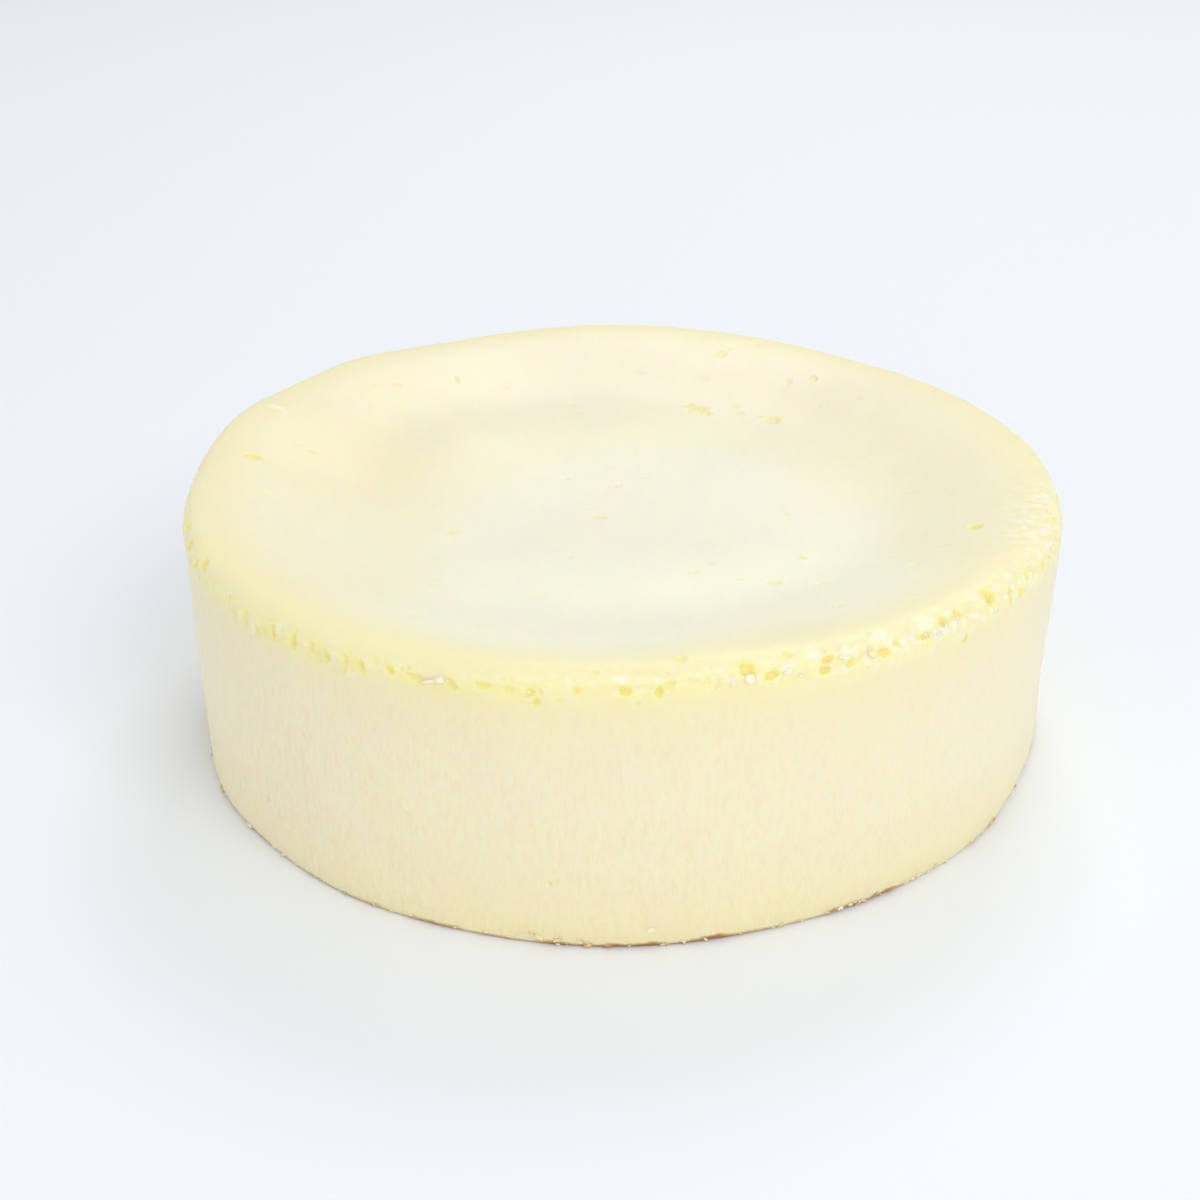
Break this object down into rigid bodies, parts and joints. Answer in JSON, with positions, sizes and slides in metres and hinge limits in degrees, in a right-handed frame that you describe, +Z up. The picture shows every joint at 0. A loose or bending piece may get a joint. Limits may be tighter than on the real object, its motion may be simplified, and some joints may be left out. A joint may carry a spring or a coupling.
{
  "type": "baked cheesecake",
  "caption": "Whole round baked cheesecake with straight sides, a soft pitted rim and a sunken top, to set on a plate or stand.",
  "frame": {"origin": "middle of the flat underside, on the upright axis of the round cake", "axes": "+Z up along the cake's round axis; -Y is the side shown in the picture"},
  "size_m": [0.1995, 0.2, 0.0636],
  "materials": {
    "cheesecake": "soft satin baked custard, pale yellow, a little yellower at the rim and golden brown along the foot"
  },
  "bodies": {
    "root": {"cheesecake": "cheesecake"}
  },
  "joints": []
}
